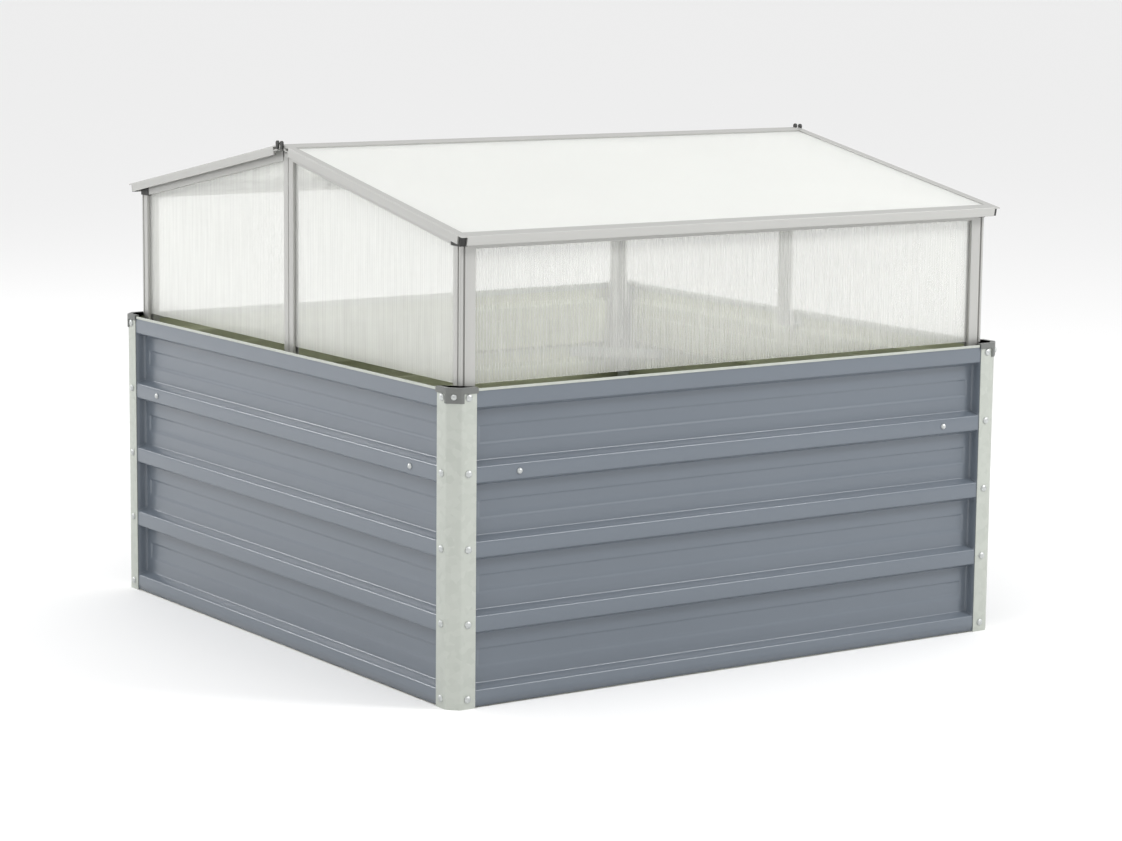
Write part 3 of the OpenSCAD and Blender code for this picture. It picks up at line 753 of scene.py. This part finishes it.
# %% Rafters
RAFTER_TOP, RAFTER_LOW, RAFTER_DEEP = -4.4 * MM, -19 * MM, 20 * MM
for name, (sx, sy) in CORNERS.items():
    low, high = (np.array(p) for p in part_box(f"gable_rafter_{name}"))
    y0, y1 = 14.2 * MM, max(abs(low[1]), abs(high[1]))
    drop = (RAFTER_LOW / math.cos(SLOPE), RAFTER_TOP / math.cos(SLOPE))
    slot = (GABLE_FACE - SLOT_FAR, GABLE_FACE - SLOT_NEAR)
    back, slot_top = GABLE_FACE - RAFTER_DEEP, drop[0] + 4 * MM
    outline = rounded([(back, drop[0]), (slot[0], drop[0]), (slot[0], slot_top),
                       (slot[1], slot_top), (slot[1], drop[0]), (GABLE_FACE, drop[0]),
                       (GABLE_FACE, drop[1]), (back, drop[1])], 0.6 * MM)
    core = back + 9 * MM
    inner = rounded([(back, drop[0]), (core, drop[0]), (core, drop[1]), (back, drop[1])],
                    0.6 * MM)
    shapes = []
    for section, reach in ((outline, (y0, y1)), (inner, (9 * MM, y0))):
        ends = [np.array((0, sy * y, roof_z(y, 0))) for y in reach]
        shapes.append(carried(section, ends, (sx, 0, 0), UP))
    piece(f"rafter_{name}", shapes, aluminium, "frame",
          [f"gable_rafter_{name}"])
print("rafters", round((RAFTER_TOP - RAFTER_LOW) * 1000, 1), "mm deep")

# %% [markdown]
# ## Panes
# A twin-wall pane is two skins on ribs. Between the ribs the skins sink in by a
# fraction of a millimetre as the sheet cools, so both faces are gently fluted. The
# pane is an outline carried along its height whose long sides are a cosine of the
# rib pitch; the gable panes are a grid instead, because their top edge slopes.

# %% Side panes
SAG = 0.12 * MM


def fluted(length, thickness, samples=6):
    """A long thin outline: both faces sink by half of SAG (1 - cos) between ribs."""
    x = np.arange(0, length + 1e-9, RIB_PITCH / samples)
    sink = SAG * (1 - np.cos(2 * np.pi * x / RIB_PITCH)) / 2
    near = np.stack([x - length / 2, sink], -1)
    far = np.stack([x - length / 2, thickness - sink], -1)[::-1]
    return np.concatenate([near, far])


for side, sy in (("front", -1), ("back", 1)):
    low, high = (np.array(p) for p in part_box(f"side_pane_{side}"))
    face_y = low[1] if sy < 0 else high[1]
    outline = fluted(high[0] - low[0], high[1] - low[1])
    heights = np.linspace(low[2], high[2], 3)
    path = [np.array((0, face_y, h)) for h in heights]
    shape = carried(outline, path, (1, 0, 0), (0, -sy, 0))
    piece(f"pane_{side}", [shape], clear_sheet, "frame",
          [f"side_pane_{side}"], 60)
print("side panes", np.round((high - low) * 1000, 1), "mm")

# %% Gable panes
for name, (sx, sy) in CORNERS.items():
    low, high = (np.array(p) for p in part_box(f"gable_pane_{name}"))
    y0, y1 = sorted((abs(low[1]), abs(high[1])))
    y = np.arange(y0, y1 + 1e-9, RIB_PITCH / 6)
    sink = SAG * (1 - np.cos(2 * np.pi * (y - y0) / RIB_PITCH)) / 2
    notch = EAVE_FACE - 24.5 * MM
    tops = np.where(y > notch, HEAD - 0.6 * MM, roof_z(y, RAFTER_LOW + 3 * MM))
    thick = high[0] - low[0]
    outer_x = max(abs(low[0]), abs(high[0]))
    ring_y = np.concatenate([y, y[::-1]])
    ring_x = np.concatenate([outer_x - sink, (outer_x - thick + sink)[::-1]])
    ring_top = np.concatenate([tops, tops[::-1]])
    foot = np.stack([sx * ring_x, sy * ring_y, np.full_like(ring_y, low[2])], -1)
    head = np.stack([sx * ring_x, sy * ring_y, ring_top], -1)
    n = len(ring_y)
    ids = np.arange(n)
    quads = np.stack([ids, (ids + 1) % n, (ids + 1) % n + n, ids + n], -1)
    half_n = n // 2
    pair = np.arange(half_n - 1)
    closing = np.stack([pair, n - 1 - pair, n - 2 - pair, pair + 1], -1)
    faces = np.concatenate([quads, closing, closing[:, ::-1] + n])
    if sx * sy < 0:
        faces = faces[:, ::-1]
    points = np.concatenate([foot, head])
    flat = faces.ravel()
    uv = np.stack([np.abs(points[flat, 1]) - y0, points[flat, 2]], -1)
    piece(f"gable_sheet_{name}", [(points, faces.tolist(), uv)], clear_sheet, "frame",
          [f"gable_pane_{name}"], 60)
print("gable panes", round((y1 - y0) * 1000, 1), "mm wide")

# %% [markdown]
# ## The lids
# A lid is an opal pane in four aluminium rails. The side rails stop 10 mm short of
# the eave, where black corner pieces under the top flange join them to the eave rail.
# The ridge rail ends in an open clip that turns on the ridge beam's bead. All four
# rails are outlines in the lid's own directions.

# %% Lid panes
for side, (hinge, down, square) in LIDS.items():
    half, start, end = LID_HALF - 5.5 * MM, 8.5 * MM, LID_RUN - 12.5 * MM
    outline = fluted(2 * half, 4 * MM) - np.array((0, 1.9 * MM))
    shape = carried(outline, [hinge + down * s for s in (start, end)], (1, 0, 0), square)
    piece(f"roof_sheet_{side}", [shape], opal_sheet, f"lid_{side}",
          [f"lid_{side}_pane"], 60)
print("roof panes", round(2 * half * 1000), "x", round((end - start) * 1000), "mm")

# %% Lid rails
WALL_LOW, SLOT_LOW, SLOT_HIGH, LIP_LOW = -9.4 * MM, -1.95 * MM, 2.15 * MM, -3.6 * MM


def clip_outline():
    """The ridge rail's section: an open ring of 2.88 mm inner and 4.1 mm outer radius
    from -47 to 161 degrees about the bead, running into the block that holds the pane."""
    out_r, in_r = 4.1, 2.88
    arcs = ((out_r, 90, 161, 9), (in_r, 161, -47, 25), (out_r, -47, -38, 2))
    ring = []
    for radius, first, last, count in arcs:
        a = np.radians(np.linspace(first, last, count))
        ring.append(radius * np.stack([np.cos(a), np.sin(a)], -1))
    block = np.array([(3.2, -3.8), (16, -3.8), (16, -1.95), (8, -1.95), (8, 2.15),
                      (16, 2.15), (16, 4.1)])
    return np.concatenate([*ring, block]) * MM


def rail_outline(inner, outer):
    """A rail's section: the slot for the pane at its inner side, 8 mm deep, and a wall
    2.5 mm thick that hangs from its outer edge."""
    slot, wall = inner + 8 * MM, outer - 2.5 * MM
    points = [(inner, SLOT_HIGH), (slot, SLOT_HIGH), (slot, SLOT_LOW), (inner, SLOT_LOW),
              (inner, LIP_LOW), (wall, LIP_LOW), (wall, WALL_LOW), (outer, WALL_LOW),
              (outer, ROOF_TOP), (inner, ROOF_TOP)]
    return rounded(points, [0.2 * MM] * 6 + [0.4 * MM] * 2 + [0.9 * MM, 0.5 * MM])


RIDGE_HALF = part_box("lid_front_ridge_rail")[1][0]
for side, (hinge, down, square) in LIDS.items():
    body = f"lid_{side}"
    ends = [hinge + np.array((x, 0, 0)) for x in (-RIDGE_HALF, RIDGE_HALF)]
    ridge_rail = carried(clip_outline(), ends, down, square)
    piece(f"ridge_rail_{side}", [ridge_rail], aluminium, body,
          [f"lid_{side}_ridge_rail"])
    start, run = LID_RUN - 20 * MM, LID_RUN
    ends = [hinge + np.array((x, 0, 0)) for x in (10 * MM - LID_HALF, LID_HALF - 10 * MM)]
    piece(f"eave_bar_{side}", [carried(rail_outline(start, run), ends, down, square)],
          aluminium, body, [f"lid_{side}_eave_rail"])
    narrow, wall, wide = LID_HALF - 9.9 * MM, LID_HALF - 2.5 * MM, LID_HALF
    full = rail_outline(LID_HALF - 13 * MM, LID_HALF)
    stub = rounded([(narrow, LIP_LOW), (wall, LIP_LOW), (wall, WALL_LOW), (wide, WALL_LOW),
                    (wide, ROOF_TOP), (narrow, ROOF_TOP)],
                   [0.2 * MM] * 2 + [0.4 * MM] * 2 + [0.9 * MM, 0.2 * MM])
    flange = rounded([(narrow, SLOT_HIGH), (wide, SLOT_HIGH), (wide, ROOF_TOP),
                      (narrow, ROOF_TOP)], [0.2 * MM, 0.2 * MM, 0.9 * MM, 0.2 * MM])
    stations = (16.1 * MM, start - 0.1 * MM, run - 10 * MM, run)
    bars = []
    for sx in (-1, 1):
        for section, first, last in zip((full, stub, flange), stations, stations[1:]):
            path = [hinge + down * first, hinge + down * last]
            bars.append(carried(section, path, (sx, 0, 0), square))
    piece(f"side_bars_{side}", bars, aluminium, body,
          [f"lid_{side}_side_rails"])
print("rails 13 mm at the sides, 20 mm at the eave")

# %% Corner pieces of the lids
for side, (hinge, down, square) in LIDS.items():
    near, far = LID_HALF - 9.9 * MM, LID_HALF - 2.2 * MM
    start, run = LID_RUN - 9.9 * MM, LID_RUN - 2.2 * MM
    outline = rounded([(near, start), (far, start), (far, run), (near, run)],
                      [0.2 * MM, 0.2 * MM, 4 * MM, 0.2 * MM], 6)
    path = [hinge + square * h for h in (WALL_LOW, SLOT_HIGH - 0.1 * MM)]
    shapes = [carried(outline, path, (sx, 0, 0), down) for sx in (-1, 1)]
    corner = piece(f"lid_corners_{side}", shapes, black_plastic, f"lid_{side}",
                   [f"lid_{side}_corner_pieces"])
    eased(corner, 0.6 * MM)
print("corner pieces", round((run - start) * 1000, 1), "mm")

# %% [markdown]
# ## Pieces that keep their CAD shape
# The diagonal braces and nuts inside the bed, the eave rails and ridge beam under the
# lids, the connectors, plugs and prop bars already have their true shape. They get
# the finish of what they are made of. Their meshes carry no surface coordinates along
# their length, so their aluminium reads the place on the object instead.

# %% Finishes for the CAD pieces
def drawn_aluminium(name, light, dark, roughness, lines_mm):
    material, tree, base = shader(name, Metallic=0.5)
    scale = tuple(1000.0 / s for s in lines_mm)
    lines = noise(tree, stretched(tree, place_on(tree), scale), 1.0, 3.0).outputs["Fac"]
    toned(tree, base, lines, dark, light)
    roughened(tree, base, lines, roughness - 0.06, roughness + 0.08)
    return material


ridge_metal = drawn_aluminium("mill_finish_aluminium_along_ridge", "#b8b8b5", "#afafac",
                              0.4, (250, 0.8, 0.8))
prop_metal = drawn_aluminium("mill_finish_aluminium_flat_bar", "#c4c4c1", "#b8b8b5",
                             0.38, (0.8, 250, 0.8))
finishes = {"ridge_beam": ridge_metal, "eave_rail_front": ridge_metal,
            "eave_rail_back": ridge_metal, "eave_connectors": black_plastic,
            "ridge_plugs": black_plastic, "panel_nuts": zinc_screw,
            "brace_fasteners": zinc_screw, "gable_foot_brackets": zinc_sheet}
finishes.update({f"corner_brace_{c}": zinc_sheet for c in CORNERS})
finishes.update({f"prop_{s}_{part}": prop_metal for s in LIDS for part in ("bracket", "bar")})
for name, material in finishes.items():
    for slot in frame["nodes"][name].material_slots:
        slot.material = material
print(len(finishes), "CAD nodes keep their shape")

# %% [markdown]
# ## Floor and light
# A pale floor and a white room that is brighter overhead than at the horizon, as a
# studio with soft boxes on its ceiling is. One broad lamp stands high on the left, so
# that the gable wall is the lighter of the two. Two small strong ones hang where a
# bend in a wall mirrors them to the camera: a wall turns the sight line's sideways
# part round, so one stands far right in front and one far left behind. Their
# reflections run along the bends of the ribs as thin bright lines. To the camera the
# world itself has an even strength of 1.

# %% Floor
ground = bpy.data.meshes.new("floor")
SPAN = 40.0
square_of_floor = [(-SPAN, -SPAN, 0), (SPAN, -SPAN, 0), (SPAN, SPAN, 0), (-SPAN, SPAN, 0)]
ground.from_pydata(square_of_floor, [], [(0, 1, 2, 3)])
floor = bpy.data.objects.new("floor", ground)
bpy.context.collection.objects.link(floor)
floor_paint, _, floor_base = shader("studio_floor_white", Roughness=0.9)
floor_base.inputs["Base Color"].default_value = linear("#f4f4f4")
ground.materials.append(floor_paint)
print("floor at z = 0")

# %% Lights
world = bpy.data.worlds.new("white_room")
world.use_nodes = True
sky = world.node_tree.nodes["Background"]
sky.inputs["Color"].default_value = linear("#ffffff")
toward = node(world.node_tree, "ShaderNodeTexCoord").outputs["Generated"]
height = node(world.node_tree, "ShaderNodeSeparateXYZ", Vector=toward).outputs[2]
dome_light = node(world.node_tree, "ShaderNodeMapRange", {"To Min": 0.72, "To Max": 1.05},
                  Value=height)
seen = node(world.node_tree, "ShaderNodeLightPath").outputs["Is Camera Ray"]
strength = node(world.node_tree, "ShaderNodeMix", {"data_type": "FLOAT"}, in0=seen,
                in2=dome_light.outputs[0])
strength.inputs[3].default_value = 1.0
world.node_tree.links.new(strength.outputs[0], sky.inputs["Strength"])
bpy.context.scene.world = world
bpy.context.scene.view_settings.view_transform = "Standard"


def lamp(name, place, aim, size, power):
    """A round lamp that faces its aim, with its size in metres and power in watts."""
    light = bpy.data.lights.new(name, "AREA")
    light.shape, light.size, light.energy = "DISK", size, power
    obj = bpy.data.objects.new(name, light)
    direction = Vector(aim) - Vector(place)
    turn = direction.to_track_quat("-Z", "Y").to_matrix().to_4x4()
    obj.matrix_world = Matrix.Translation(Vector(place)) @ turn
    bpy.context.collection.objects.link(obj)


lamp("left_box", (-3.5, -1.0, 4.0), (0, 0, 0.3), 2.5, 52)
lamp("front_strip", (2.5, -3.1, 2.9), (0, -0.5, 0.25), 1.4, 100)
lamp("back_strip", (-2.35, 3.7, 2.1), (-0.5, 0, 0.25), 1.4, 62)
print("world and three lamps set")
